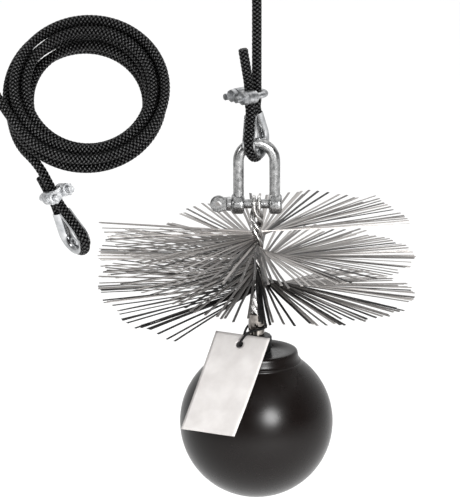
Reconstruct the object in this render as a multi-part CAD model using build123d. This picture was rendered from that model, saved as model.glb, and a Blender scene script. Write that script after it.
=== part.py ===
from build123d import *
import math
import os

# A weighted chimney sweep brush hanging on its rope, in millimetres. The origin is where the rope is held,
# +Z is up, +X is to the right and +Y is away from the viewer. Everything hangs below the origin in one chain.

# Rope, in one length from the tail at the brush to the tail at the spare eye
rope_diameter = 6.0
rope_side_gap = 0.2
rope_run_height = 66.0
run_joint_rise = 22.0
spare_joint_rise = 9.0
holder_radius = 8.0
tail_length = 30.0
spare_tail_length = 13.0
tail_lean_x = 4.0
tail_lean_y = 1.5

# Coil of spare rope, loops piled in layers one behind the other
coil_outer_diameter = 104.8
coil_loop_gap = 1.2
coil_layer_gap = 0.6
coil_layers = 4
coil_turns_per_layer = 2
coil_start_degrees = 210
coil_turn_degrees = 358
coil_tilt_degrees = 40
coil_climb_turns = 0.5
coil_way_turns = 0.002
coil_side_drift = 0.5
coil_down_drift = 0.5
coil_offset_x = -107.0
coil_offset_z = -66.0

# Free stretches of the rope, chosen along its route
hold_route_points = [
    (0, 0, 11), (-57, -1.2, 8.6), (-114, -3.6, 8.4), (-171, -6.2, 11),
]
hold_last_run = 44.0
end_first_run = 16.0
end_last_run = 13.0
fillet_share = 0.45

# The eye at the spare end, which hangs askew below the coil
spare_tilt_degrees = 27
spare_turn_degrees = 58
spare_clip_x = -129.4
spare_clip_y = -22.0
spare_clip_z = -126.1

# Thimbles that line the two eyes
thimble_eye_radius = 7.0
thimble_wall = 0.9
thimble_groove_clearance = 0.3
rope_seat_gap = 0.05
thimble_rise = 30.4
thimble_point_gap = 4.9
eye_turn_degrees = 65
eye_side_shift = -0.5
knee_length = 4.0

# Wire rope clips
clip_turn_degrees = 40
clip_wire_diameter = 4.2
clip_wire_gap = 0.15
clip_half_height = 4.6
clip_stud_reach = 18.6
saddle_back = 10.0
saddle_half_width = 8.6
saddle_waist_height = 6.4
saddle_groove_gap = 0.1
clip_hole_clearance = 0.15
clip_nut_across_flats = 7.4
clip_nut_height = 3.8

# Shackle and its screw pin
shackle_wire_diameter = 7.0
shackle_inside_width = 16.0
shackle_length = 39.7
shackle_seat_gap = 1.4
shackle_eye_proud = 0.25
shackle_eye_diameter = 13.0
shackle_eye_width = 8.4
shackle_eye_edge_radius = 2.2
pin_diameter = 6.0
pin_eye_clearance = 0.2
pin_thread_clearance = 0.05
pin_collar_diameter = 9.0
pin_collar_width = 2.2
pin_collar_gap = 0.3
pin_tab_radius = 5.3
pin_tab_thickness = 3.4
pin_tab_reach = 5.6
pin_tab_hole_radius = 2.0
pin_tab_edge = 0.6

# Stem of two wires, each bent over the pin and twisted with the other
stem_wire_diameter = 2.5
stem_wire_offset = 1.6
stem_slot_offset = 2.45
pin_loop_clearance = 0.25
twist_pitch = 34.0
twist_start_drop = 2.0
wire_settle_length = 11.0
stem_neck = 17.3
stem_neck_degrees = 185
neck_steps = 5
strand_step_share = 0.001

# Flat steel bristles gripped between the two wires
brush_radius = 102.0
brush_length = 39.5
bristle_width = 2.0
bristle_root_width = 0.5
bristle_thickness = 0.4
bristle_stack_width = 2.0
bristle_stack_radius = 12.0
bristle_root_overlap = 1.0
bristle_tip_wander = 3.5
bristle_tip_ripple = 1.6
bristle_end_step = 1.5
wander_step_radians = 2.1
wander_beat_radians = 0.37
ripple_step_radians = 5.3
end_step_radians = 3.7
brush_tiers = 3
strands_per_tier_side = 52
brush_gap = 15.0
tier_margin = 0.4
tier_gap = 0.1
first_bristle_lift = 9.0
lifted_bristles = 14
far_bristle_lift = 7.0
far_lifted_bristles = 42
droop_reach = 9.0
droop_start_depths = {-1: 20.0, 1: 33.0}
droop_length = 7.0

# Sleeve, stud and lock nut
sleeve_diameter = 10.4
sleeve_length = 14.5
sleeve_edge = 0.5
sleeve_wire_clearance = 0.06
stud_diameter = 10.0
stud_shank_length = 5.0
stud_shank_clearance = 0.02
stud_reach = 26.0
wire_end_gap = 0.9
nut_across_flats = 17.0
nut_height = 9.8
nut_chamfer = 1.1
nut_seat_gap = 0.05
thread_clearance = 0.05

# Ball with its coat, core and threaded insert
ball_diameter = 98.0
coat_thickness = 4.0
core_clearance = 0.05
collar_top_drop = 1.3
collar_waist_drop = 5.8
collar_foot_drop = 8.8
collar_top_radius = 26.2
collar_waist_radius = 26.9
collar_bead_height = 1.0
collar_bead_proud = 0.4
collar_edge_radius = 1.6
insert_radius = 8.0
insert_depth = 32.0
insert_clearance = 0.05

# Tag card and the tie that holds it
tag_width = 40.0
tag_length = 70.0
tag_thickness = 0.5
tag_hole_radius = 2.5
tag_hole_margin = 7.0
tag_ball_gap = 0.3
tag_drop = 3.0
tag_face = Vector(-0.411, -0.658, 0.628)
tag_across = Vector(0.856, -0.516, 0.02)
tie_diameter = 1.5
tie_sleeve_gap = 0.25
tie_low_rise = 3.2
tie_tilt_rise = 3.6
tie_card_gap = 0.4
tie_end_gap = 0.1
tie_fold_reach = 1.9
tie_edge_rise = 2.4
tie_side_step = 5.0

cut_overrun = 1.0
straight_share = 0.0005

# Sizes and levels that follow from the values above, from the hold down to the ball
rope_radius = rope_diameter / 2
rope_pair = rope_diameter + rope_side_gap
stem_wire_radius = stem_wire_diameter / 2
pin_radius = pin_diameter / 2
shackle_wire_radius = shackle_wire_diameter / 2
shackle_bend = (shackle_inside_width + shackle_wire_diameter) / 2
groove_radius = rope_radius + thimble_groove_clearance
rope_eye_radius = thimble_eye_radius + thimble_wall + rope_seat_gap + rope_radius
groove_path_radius = thimble_eye_radius + thimble_wall + groove_radius

clip_level = -rope_run_height
eye_level = clip_level - thimble_rise
crown_level = eye_level - thimble_eye_radius + shackle_seat_gap + shackle_wire_radius
pin_level = crown_level - shackle_length
brush_top = pin_level - stem_neck
brush_bottom = brush_top - brush_length
sleeve_top = brush_bottom - brush_gap
nut_top = sleeve_top - sleeve_length
collar_top = nut_top - nut_height
ball_radius = ball_diameter / 2
collar_height = ball_radius - collar_top_drop
collar_waist_height = ball_radius - collar_waist_drop
collar_foot_height = ball_radius - collar_foot_drop
ball_level = collar_top - collar_height


def level_direction(degrees):
    """A level direction, turned from +X towards +Y."""
    return Vector(math.cos(math.radians(degrees)), math.sin(math.radians(degrees)), 0)


def smooth_share(share):
    """A share from 0 to 1, eased at both ends."""
    share = min(1, max(0, share))
    return share * share * (3 - 2 * share)


def arc_by_corner(start, corner, end):
    """The arc from start to end whose end tangents meet at the corner."""
    middle = (start + end) / 2
    half_chord = (end - start).length / 2
    rise = (corner - middle).length
    if rise < straight_share * half_chord:
        return Line(start, end)
    sagitta = half_chord * math.tan(math.atan2(rise, half_chord) / 2)
    return ThreePointArc(start, middle + (corner - middle).normalized() * sagitta, end)


def biarc(start, start_way, end, end_way):
    """Two arcs that join start to end and keep both directions."""
    chord = end - start
    both_ways = start_way + end_way
    turn = 2 * (1 - start_way.dot(end_way))
    along = chord.dot(both_ways)
    reach = chord.dot(chord) / (math.sqrt(along * along + turn * chord.dot(chord)) + along)
    first_corner = start + start_way * reach
    second_corner = end - end_way * reach
    joint = (first_corner + second_corner) / 2
    return [arc_by_corner(start, first_corner, joint), arc_by_corner(joint, second_corner, end)]


def tube(edges, radius):
    """A round tube along edges that follow each other."""
    path = Wire(edges)
    section = Plane(origin=path @ 0, z_dir=path % 0) * Circle(radius)
    return sweep(section, path=path)


def filleted_route(name, points):
    """Straight runs joined by arcs as large as the runs allow, with their radii printed."""
    places = [Vector(point) for point in points]
    radii = []
    for before, corner, after in zip(places, places[1:], places[2:]):
        half_turn = math.radians((corner - before).get_angle(after - corner)) / 2
        shorter_run = min((corner - before).length, (after - corner).length)
        radii.append(fillet_share * shorter_run / math.tan(half_turn))
    print(name, "radii", [round(radius, 1) for radius in radii])
    return radii


def report_tube(name, solid, radius):
    """Prints a tube's length from its volume."""
    print(name, "length", round(solid.volume / (math.pi * radius * radius), 1))


# The eye round a thimble, worked out in a plane whose first axis runs across the eye and whose second runs
# up to the clip


class Eye:
    """The route of the rope round one thimble, with the clip above it."""

    def __init__(self, centre, across, live, dead, rise):
        self.centre = centre
        self.live = live
        self.dead = dead
        self.rise = rise
        middle = (live + dead) / 2 - rise * (clip_half_height + knee_length)
        up = middle - centre
        facing = across.cross(up).normalized()
        self.up = up.normalized()
        self.across = self.up.cross(facing).normalized()
        self.facing = facing
        self.height = up.length

    def place(self, sideways, upward):
        """A point of the eye's plane."""
        return self.centre + self.across * sideways + self.up * upward

    def tangent_angle(self):
        """Where the straight flank of the rope leaves the round of the eye."""
        reach = math.hypot(rope_pair / 2, self.height)
        return math.atan2(self.height, rope_pair / 2) - math.acos(rope_eye_radius / reach)

    def flank_point(self, side):
        """The point where a flank of the rope leaves the round of the eye."""
        angle = self.tangent_angle()
        return self.place(side * rope_eye_radius * math.cos(angle), rope_eye_radius * math.sin(angle))

    def flank_way(self, side):
        """The upward direction of a flank."""
        angle = self.tangent_angle()
        return self.across * (-side * math.sin(angle)) + self.up * math.cos(angle)

    def round_edges(self, radius, side):
        """The round of the eye, from the flank on one side to the other."""
        end_angle = self.tangent_angle()
        middle_angle = (end_angle - math.pi / 2) / 2
        reach = side * radius * math.cos(end_angle)
        rise = radius * math.sin(end_angle)
        middle_reach = side * radius * math.cos(middle_angle)
        middle_rise = radius * math.sin(middle_angle)
        bottom = self.place(0, -radius)
        return [
            ThreePointArc(self.place(reach, rise), self.place(middle_reach, middle_rise), bottom),
            ThreePointArc(bottom, self.place(-middle_reach, middle_rise), self.place(-reach, rise)),
        ]

    def leg_edges(self, side, clip_point):
        """One leg of the rope, from the round of the eye up to the clip's foot."""
        start = self.flank_point(side)
        way = self.flank_way(side)
        flank = (self.place(side * rope_pair / 2, self.height) - start).length
        knee = start + way * (flank - knee_length)
        foot = clip_point - self.rise * clip_half_height
        return [Line(start, knee)] + biarc(knee, way, foot, self.rise)


def reversed_edges(edges):
    """The same edges, walked the other way."""
    return [edge.reversed() for edge in reversed(edges)]


def rope_eye(eye, dead_side, tail_top, joint_rise):
    """The rope from its tail, through the clip, round the thimble and back up to a joint above the clip."""
    dead_top = eye.dead + eye.rise * clip_half_height
    dead_foot = eye.dead - eye.rise * clip_half_height
    live_foot = eye.live - eye.rise * clip_half_height
    tail_way = (dead_top - tail_top).normalized()
    edges = biarc(tail_top, tail_way, dead_top, -eye.rise)
    edges += [Line(dead_top, dead_foot)]
    edges += reversed_edges(eye.leg_edges(dead_side, eye.dead))
    edges += eye.round_edges(rope_eye_radius, dead_side)
    edges += eye.leg_edges(-dead_side, eye.live)
    edges += [Line(live_foot, eye.live + eye.rise * joint_rise)]
    return tube(edges, rope_radius)


def thimble(eye):
    """A grooved metal loop, open at its point, that lines the eye."""
    angle = eye.tangent_angle()
    foot_height = groove_path_radius * math.sin(angle)
    foot_side = groove_path_radius * math.cos(angle)
    flank = (foot_side - thimble_point_gap) / math.sin(angle)
    edges = []
    for side in (1, -1):
        foot = eye.place(side * foot_side, foot_height)
        top = foot + eye.flank_way(side) * flank
        if side == 1:
            edges.append(Line(top, foot))
            edges += eye.round_edges(groove_path_radius, side)
        else:
            edges.append(Line(foot, top))
    path = Wire(edges)
    outer_radius = groove_radius + thimble_wall
    inward = (path % 0).cross(eye.facing)
    if inward.dot(eye.centre - path @ 0) > 0:
        inward = -inward
    plane = Plane(origin=path @ 0, x_dir=inward, z_dir=path % 0)
    ring = Circle(outer_radius) - Circle(groove_radius)
    mouth = Pos(outer_radius, 0) * Rectangle(2 * outer_radius, 2 * outer_radius + cut_overrun)
    return sweep(plane * (ring - mouth), path=path)


def clip_plane(eye, stack):
    """The clip's own frame: its first axis points at the nuts, its second runs across, its third up the rope."""
    middle = (eye.live + eye.dead) / 2
    return Plane(origin=middle, x_dir=stack, z_dir=eye.rise)


stud_side = rope_radius + clip_wire_gap + clip_wire_diameter / 2


def clip_u_bolt(frame):
    """The round wire bent over the pair of ropes, with a stud at each end."""
    bend = -rope_pair / 2
    path = Wire([
        Line((clip_stud_reach, stud_side, 0), (bend, stud_side, 0)),
        ThreePointArc((bend, stud_side, 0), (bend - stud_side, 0, 0), (bend, -stud_side, 0)),
        Line((bend, -stud_side, 0), (clip_stud_reach, -stud_side, 0)),
    ])
    section = Plane(origin=path @ 0, z_dir=path % 0) * Circle(clip_wire_diameter / 2)
    return frame.location * sweep(section, path=path)


def clip_saddle(frame):
    """The forged saddle: two bored ears joined by a grooved bridge on the rope."""
    depth = saddle_back - rope_pair / 2
    middle = rope_pair / 2 + depth / 2
    ear_radius = saddle_half_width - stud_side
    body = Pos(middle, 0, 0) * Box(depth, 2 * stud_side, saddle_waist_height)
    for side in (1, -1):
        ear = Rot(0, 90, 0) * Cylinder(ear_radius + thimble_wall, depth)
        body += Pos(middle, side * stud_side, 0) * ear
    groove = Cylinder(rope_radius + saddle_groove_gap, 2 * clip_half_height + cut_overrun)
    body -= Pos(rope_pair / 2, 0, 0) * groove
    hole_radius = clip_wire_diameter / 2 + clip_hole_clearance
    for side in (1, -1):
        hole = Rot(0, 90, 0) * Cylinder(hole_radius, depth + 2 * cut_overrun)
        body -= Pos(middle, side * stud_side, 0) * hole
    return frame.location * body


def hexagon_nut(across_flats, height, bore_radius, chamfer):
    """A hexagon nut on its own axis, its corners turned off at both faces."""
    corner_radius = across_flats / math.sqrt(3)
    body = extrude(RegularPolygon(corner_radius, 6), height)
    turned = Pos(0, 0, height / 2) * Cylinder(corner_radius, height)
    turned = chamfer_rims(turned, chamfer)
    bore = Pos(0, 0, height / 2) * Cylinder(bore_radius, height + 2 * cut_overrun)
    return body & turned - bore


def chamfer_rims(cylinder, length):
    """The two rims of a cylinder taken off."""
    rims = cylinder.edges().filter_by(GeomType.CIRCLE)
    return chamfer(rims, length)


def clip_nuts(frame):
    """The clip's two nuts, seated on the back of the saddle."""
    bore_radius = clip_wire_diameter / 2 + clip_hole_clearance
    nuts = []
    for side in (1, -1):
        nut = hexagon_nut(clip_nut_across_flats, clip_nut_height, bore_radius, thimble_wall / 2)
        nuts.append(frame.location * (Pos(saddle_back, side * stud_side, 0) * (Rot(0, 90, 0) * nut)))
    return Compound(nuts)


def shackle_bow():
    """A round bar bent to a bow, with a bored eye on each end."""
    foot = pin_level + shackle_eye_diameter / 2 - shackle_eye_edge_radius
    spring_level = crown_level - shackle_bend
    path = Wire([
        Line((-shackle_bend, 0, foot), (-shackle_bend, 0, spring_level)),
        ThreePointArc((-shackle_bend, 0, spring_level), (0, 0, crown_level), (shackle_bend, 0, spring_level)),
        Line((shackle_bend, 0, spring_level), (shackle_bend, 0, foot)),
    ])
    section = Plane(origin=path @ 0, z_dir=path % 0) * Circle(shackle_wire_radius)
    bow = sweep(section, path=path)
    eye_middle = shackle_inside_width / 2 - shackle_eye_proud + shackle_eye_width / 2
    for side in (-1, 1):
        eye = Rot(0, 90, 0) * Cylinder(shackle_eye_diameter / 2, shackle_eye_width)
        eye = fillet(eye.edges().filter_by(GeomType.CIRCLE), shackle_eye_edge_radius)
        bow += Pos(side * eye_middle, 0, pin_level) * eye
    bore_length = shackle_eye_width + 2 * cut_overrun
    near_bore = Rot(0, 90, 0) * Cylinder(pin_radius + pin_eye_clearance, bore_length)
    far_bore = Rot(0, 90, 0) * Cylinder(pin_radius + pin_thread_clearance, bore_length)
    bow -= Pos(-eye_middle, 0, pin_level) * near_bore
    bow -= Pos(eye_middle, 0, pin_level) * far_bore
    return bow


def shackle_pin():
    """The screw pin: a shaft, a collar against the near eye, and a flat bored tab to turn it by."""
    eye_face = shackle_inside_width / 2 - shackle_eye_proud + shackle_eye_width
    collar_face = -eye_face - pin_collar_gap
    shaft_length = 2 * eye_face + pin_collar_gap
    shaft = Pos(shaft_length / 2 + collar_face, 0, 0) * (Rot(0, 90, 0) * Cylinder(pin_radius, shaft_length))
    collar = Rot(0, 90, 0) * Cylinder(pin_collar_diameter / 2, pin_collar_width)
    collar = Pos(collar_face - pin_collar_width / 2, 0, 0) * collar
    tab_centre = collar_face - pin_collar_width - pin_tab_reach
    outline = Pos(tab_centre, 0) * Circle(pin_tab_radius)
    neck = 2 * pin_tab_radius - pin_collar_width
    outline += Pos(tab_centre + pin_tab_reach / 2, 0) * Rectangle(pin_tab_reach, neck)
    tab = extrude(Plane.XZ * outline, pin_tab_thickness / 2, both=True)
    tab = chamfer(tab.faces().sort_by(Axis.Y)[0].edges() + tab.faces().sort_by(Axis.Y)[-1].edges(), pin_tab_edge)
    hole = Rot(90, 0, 0) * Cylinder(pin_tab_hole_radius, pin_tab_thickness + 2 * cut_overrun)
    return Pos(0, 0, pin_level) * (shaft + collar + tab - Pos(tab_centre, 0, 0) * hole)


def twist_angle(drop):
    """How far the stem has turned at a depth below the pin: eased in over the neck, then steady."""
    neck = stem_neck - twist_start_drop
    neck_turn = math.radians(stem_neck_degrees)
    rate = 2 * math.pi / twist_pitch
    share = (drop - twist_start_drop) / neck
    if share <= 0:
        return 0
    if share >= 1:
        return neck_turn + rate * (drop - stem_neck)
    return neck_turn * (3 - 2 * share) * share * share - neck * rate * (1 - share) * share * share


def strand_point(side, leg, drop):
    """The centre of one strand at a depth below the pin."""
    loop_half = pin_radius + pin_loop_clearance + stem_wire_radius
    settled = smooth_share(drop / wire_settle_length)
    outward = loop_half + (stem_slot_offset - loop_half) * settled
    angle = twist_angle(drop)
    x = side * stem_wire_offset
    y = leg * outward
    return Vector(
        x * math.cos(angle) - y * math.sin(angle),
        x * math.sin(angle) + y * math.cos(angle),
        pin_level - drop,
    )


def strand_way(side, leg, drop):
    """The downward direction of one strand at a depth below the pin."""
    step = twist_pitch * strand_step_share
    return (strand_point(side, leg, drop + step) - strand_point(side, leg, drop - step)).normalized()


def stem_wire(side):
    """One wire, bent over the pin, both of its legs twisted round the stem."""
    end_drop = pin_level - (nut_top + stud_shank_length + wire_end_gap)
    quarters = math.ceil(4 * (end_drop - stem_neck) / twist_pitch)
    drops = [stem_neck * count / neck_steps for count in range(neck_steps)]
    drops += [stem_neck + (end_drop - stem_neck) * count / quarters for count in range(quarters + 1)]
    leg_edges = {}
    for leg in (1, -1):
        edges = []
        for upper, lower in zip(drops, drops[1:]):
            upper_way = Vector(0, 0, -1) if upper == 0 else strand_way(side, leg, upper)
            edges += biarc(
                strand_point(side, leg, upper), upper_way,
                strand_point(side, leg, lower), strand_way(side, leg, lower),
            )
        leg_edges[leg] = edges
    loop_half = pin_radius + pin_loop_clearance + stem_wire_radius
    x = side * stem_wire_offset
    over = ThreePointArc((x, loop_half, pin_level), (x, 0, pin_level + loop_half), (x, -loop_half, pin_level))
    return tube(reversed_edges(leg_edges[1]) + [over] + leg_edges[-1], stem_wire_radius)


def brush_angle(depth):
    """The direction of the bristles at a depth below the top of the brush."""
    return twist_angle(stem_neck + depth)


def bristle_depth(index):
    """How far below the top of the brush a bristle leaves the stem, clear of the ends of its tier."""
    tier_length = brush_length / brush_tiers
    tier = index // strands_per_tier_side
    share = (index % strands_per_tier_side) / (strands_per_tier_side - 1)
    return tier * tier_length + tier_margin + (tier_length - 2 * tier_margin) * share


def bristle_rise(index, side, depth):
    """How far the tip of a bristle stands above its root: its own wander, and where the brush is bent by use."""
    rise = bristle_tip_wander * math.sin(wander_step_radians * index + side) * math.sin(wander_beat_radians * index)
    rise += bristle_tip_ripple * math.sin(ripple_step_radians * index + 2 * side)
    if side > 0 and index < lifted_bristles:
        rise += first_bristle_lift * (1 - index / lifted_bristles)
    if side < 0 and index < far_lifted_bristles:
        rise += far_bristle_lift * math.sin(math.pi * (index + 1) / (far_lifted_bristles + 1))
    return rise - droop_reach * smooth_share((depth - droop_start_depths[side]) / droop_length)


def bristle(index, side):
    """One flat bristle, narrowed towards the root where the real ones lie over each other."""
    depth = bristle_depth(index)
    angle = brush_angle(depth)
    if side < 0:
        angle += math.pi
    outward = Vector(math.cos(angle), math.sin(angle), 0)
    across = Vector(-math.sin(angle), math.cos(angle), 0)
    rise = bristle_rise(index, side, depth)
    tip_radius = brush_radius - bristle_end_step * (1 + math.sin(end_step_radians * index + side)) / 2
    root = outward * (bristle_stack_radius - bristle_root_overlap) + Vector(0, 0, brush_top - depth)
    tip = outward * tip_radius + Vector(0, 0, brush_top - depth + rise)
    length = (tip - root).length
    half_root = bristle_root_width / 2
    half_tip = bristle_width / 2
    corners = [(0, -half_root), (length, -half_tip), (length, half_tip), (0, half_root), (0, -half_root)]
    plane = Plane(origin=root, x_dir=tip - root, z_dir=(tip - root).cross(across))
    return extrude(plane * make_face(Polyline(*corners)), bristle_thickness / 2, both=True)


def bristle_tier(tier):
    """One tier of bristles, fused to the stack of their roots that the two wires grip."""
    tier_length = brush_length / brush_tiers - tier_gap
    top_depth = tier * (tier_length + tier_gap)
    low_depth = top_depth + tier_length
    turned = brush_angle(top_depth) - brush_angle(low_depth)
    stack = Rectangle(2 * bristle_stack_radius, bristle_stack_width)
    start = Rot(0, 0, math.degrees(brush_angle(low_depth))) * stack
    column = Solid.extrude_linear_with_rotation(
        start.face(), center=(0, 0, 0), normal=(0, 0, tier_length), angle=math.degrees(turned)
    )
    column = Pos(0, 0, brush_top - low_depth) * column
    strands = []
    for index in range(tier * strands_per_tier_side, (tier + 1) * strands_per_tier_side):
        for side in (1, -1):
            strands.append(bristle(index, side))
    return column.fuse(*[strand.solid() for strand in strands])


def stem_sleeve():
    """The plated sleeve pressed over the lower ends of the wires."""
    bore_radius = math.hypot(stem_wire_offset, stem_slot_offset) + stem_wire_radius + sleeve_wire_clearance
    body = Cylinder(sleeve_diameter / 2, sleeve_length)
    body = chamfer(body.edges().filter_by(GeomType.CIRCLE), sleeve_edge)
    body -= Cylinder(bore_radius, sleeve_length + 2 * cut_overrun)
    return Pos(0, 0, nut_top + sleeve_length / 2) * body


def stem_stud():
    """The threaded stud, its shank pressed into the sleeve and its thread in the ball."""
    bore_radius = math.hypot(stem_wire_offset, stem_slot_offset) + stem_wire_radius + sleeve_wire_clearance
    shank_radius = bore_radius - stud_shank_clearance
    shank = Pos(0, 0, nut_top + stud_shank_length / 2) * Cylinder(shank_radius, stud_shank_length)
    length = nut_height + stud_reach
    thread = Cylinder(stud_diameter / 2, length)
    thread = chamfer(thread.edges().filter_by(GeomType.CIRCLE).sort_by(Axis.Z)[0], sleeve_edge)
    return shank + Pos(0, 0, nut_top - length / 2) * thread


def lock_nut():
    """The hexagon nut that locks the ball on the stud."""
    bore_radius = stud_diameter / 2 + thread_clearance
    nut = hexagon_nut(nut_across_flats, nut_height - nut_seat_gap, bore_radius, nut_chamfer)
    return Pos(0, 0, collar_top + nut_seat_gap) * nut


def ball_outline():
    """The ball with its moulded collar, as one turned solid."""
    foot_radius = math.sqrt(ball_radius * ball_radius - collar_foot_height * collar_foot_height)
    bead_top = collar_foot_height + collar_bead_height
    profile = make_face(Polyline(
        (0, 0), (0, collar_height), (collar_top_radius, collar_height), (collar_waist_radius, collar_waist_height),
        (collar_waist_radius + collar_bead_height, bead_top), (foot_radius, bead_top),
        (foot_radius + collar_bead_proud, (bead_top + collar_foot_height) / 2), (foot_radius, collar_foot_height),
        (0, 0),
    ))
    collar = revolve(Plane.XZ * profile, Axis.Z)
    rim = collar.edges().filter_by(GeomType.CIRCLE).group_by(Axis.Z)[-1]
    collar = fillet(rim, collar_edge_radius)
    below_collar = Pos(0, 0, collar_height - ball_radius) * Box(ball_diameter, ball_diameter, ball_diameter)
    return (Sphere(ball_radius) & below_collar) + collar


def ball_shell():
    """The black coat of the ball, hollow for its core and bored for its insert."""
    shell = ball_outline() - Sphere(ball_radius - coat_thickness)
    bore_height = collar_height + cut_overrun
    bore = Pos(0, 0, bore_height / 2) * Cylinder(insert_radius + insert_clearance, bore_height)
    return Pos(0, 0, ball_level) * (shell - bore)


def ball_core():
    """The iron core, with a blind bore for the insert."""
    core = Sphere(ball_radius - coat_thickness - core_clearance)
    bore_bottom = collar_height - insert_depth - insert_clearance
    bore_height = ball_radius
    bore = Pos(0, 0, bore_bottom + bore_height / 2) * Cylinder(insert_radius + insert_clearance, bore_height)
    return Pos(0, 0, ball_level) * (core - bore)


def ball_insert():
    """The threaded bush that the stud screws into, flush with the collar's face."""
    bush = Cylinder(insert_radius, insert_depth)
    depth = stud_reach + cut_overrun
    bore = Pos(0, 0, (insert_depth - depth) / 2) * Cylinder(stud_diameter / 2 + thread_clearance, depth)
    return Pos(0, 0, collar_top - insert_depth / 2) * (bush - bore)


tag_out = tag_face.normalized()
tag_side = (tag_across - tag_out * tag_across.dot(tag_out)).normalized()
tag_up = tag_out.cross(tag_side)
rim_reach = (
    (collar_top_radius - collar_edge_radius) * math.hypot(tag_out.X, tag_out.Y)
    + (collar_height - collar_edge_radius) * tag_out.Z
    + collar_edge_radius
)
tag_rest = max(ball_radius, rim_reach) + tag_ball_gap
tag_centre = Vector(0, 0, ball_level) + tag_out * (tag_rest + tag_thickness / 2) + tag_up * tag_drop
tag_hole = tag_centre + tag_up * (tag_length / 2 - tag_hole_margin)


def tag_card():
    """The card, leaning on the front of the ball and its collar, with its hole near the top edge."""
    card = Box(tag_width, tag_length, tag_thickness)
    hole = Cylinder(tag_hole_radius, tag_thickness + 2 * cut_overrun)
    card -= Pos(0, tag_length / 2 - tag_hole_margin, 0) * hole
    return Plane(origin=tag_centre, x_dir=tag_side, z_dir=tag_out).location * card


def tag_tie():
    """The tie: round the sleeve on a tilt, and through the hole of the card."""
    tie_radius = tie_diameter / 2
    ring_radius = sleeve_diameter / 2 + tie_sleeve_gap + tie_radius
    toward = Vector(tag_hole.X, tag_hole.Y, 0).normalized()
    right = Vector(-toward.Y, toward.X, 0)
    low = nut_top + tie_low_rise
    high = low + tie_tilt_rise
    proud = tie_card_gap + tie_radius + tag_thickness / 2
    fold = tie_fold_reach + tie_radius
    corner = 2 * ring_radius * math.tan(math.pi / 8)
    middle_level = (low + high) / 2

    def ring_corner(forward_share, right_share, level):
        return toward * (corner * forward_share) + right * (corner * right_share) + Vector(0, 0, level)

    full = ring_radius / corner
    route = [
        tag_hole - tag_out * fold,
        tag_hole + tag_out * proud,
        tag_hole + tag_out * proud + tag_up * (tag_hole_margin + tie_edge_rise) + tag_side * tie_side_step,
        ring_corner(0.5, full, middle_level),
        ring_corner(-0.5, full, middle_level + (high - low) / 4),
        ring_corner(-full, 0.5, high),
        ring_corner(-full, -0.5, high),
        ring_corner(-0.5, -full, middle_level + (high - low) / 4),
        ring_corner(0.5, -full, middle_level - (high - low) / 4),
        tag_hole - tag_out * (fold + tie_diameter + tie_end_gap) + tag_up * tie_diameter,
    ]
    radii = []
    for before, here, after in zip(route, route[1:], route[2:]):
        half_turn = math.radians((here - before).get_angle(after - here)) / 2
        shorter = min((here - before).length, (after - here).length)
        radii.append(min(ring_radius, fillet_share * shorter / math.tan(half_turn)))
    print("tag_tie radii", [round(radius, 1) for radius in radii])
    path = FilletPolyline(*route, radius=radii)
    section = Plane(origin=path @ 0, z_dir=path % 0) * Circle(tie_radius)
    return sweep(section, path=path)


coil_radius = coil_outer_diameter / 2 - rope_radius
coil_pitch = rope_diameter + coil_loop_gap
coil_layer_pitch = rope_diameter + coil_layer_gap
coil_turns = coil_layers * coil_turns_per_layer


def coil_place(sideways, upward, depth):
    """A point of the tilted frame of the coil, whose top leans away from the viewer."""
    tilt = math.radians(coil_tilt_degrees)
    y = upward * math.sin(tilt) + depth * math.cos(tilt)
    z = upward * math.cos(tilt) - depth * math.sin(tilt)
    return Vector(coil_offset_x + sideways, y, coil_offset_z + z)


def coil_point(turn):
    """A point of the coil: in and out again at a steady rate, one layer further back at each reversal."""
    layer = min(int(turn / coil_turns_per_layer), coil_layers - 1)
    within = turn - layer * coil_turns_per_layer
    inward = within if layer % 2 == 0 else coil_turns_per_layer - within
    radius = coil_radius - coil_pitch * inward
    depth = -coil_layer_pitch * (coil_layers - 1) / 2
    for reversal in range(1, coil_layers):
        climb = (turn - reversal * coil_turns_per_layer) / coil_climb_turns + 1 / 2
        depth += coil_layer_pitch * smooth_share(climb)
    angle = math.radians(coil_start_degrees + coil_turn_degrees * turn)
    sideways = radius * math.cos(angle) - coil_side_drift * inward
    return coil_place(sideways, radius * math.sin(angle) - coil_down_drift * inward, depth)


def coil_way(turn):
    """The direction of the rope at a point of the coil."""
    before = coil_point(max(0, turn - coil_way_turns))
    after = coil_point(min(coil_turns, turn + coil_way_turns))
    return (after - before).normalized()


def rope_coil():
    """The coil as one unbroken tube on biarcs of a quarter turn."""
    edges = []
    for quarter in range(4 * coil_turns):
        start = quarter / 4
        end = start + 1 / 4
        edges += biarc(coil_point(start), coil_way(start), coil_point(end), coil_way(end))
    return tube(edges, rope_radius)


def print_coil_gap():
    """Measures the least gap of the coil to itself on points, and prints it."""
    steps_a_turn = 72
    points = [coil_point(step / steps_a_turn) for step in range(steps_a_turn * coil_turns + 1)]
    least = coil_outer_diameter
    for first in range(len(points)):
        for second in range(first + steps_a_turn // 2, len(points)):
            least = min(least, (points[first] - points[second]).length)
    print("coil least gap", round(least - rope_diameter, 2))


def rope_run(start):
    """The taut run up to the hold, over it, and along and down to the coil."""
    points = [start] + [Vector(point) for point in hold_route_points]
    points += [coil_point(0) - coil_way(0) * hold_last_run, coil_point(0)]
    radii = filleted_route("rope_run", points)
    radii[0] = holder_radius + rope_radius
    path = FilletPolyline(*points, radius=radii)
    section = Plane(origin=path @ 0, z_dir=path % 0) * Circle(rope_radius)
    return sweep(section, path=path)


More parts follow.
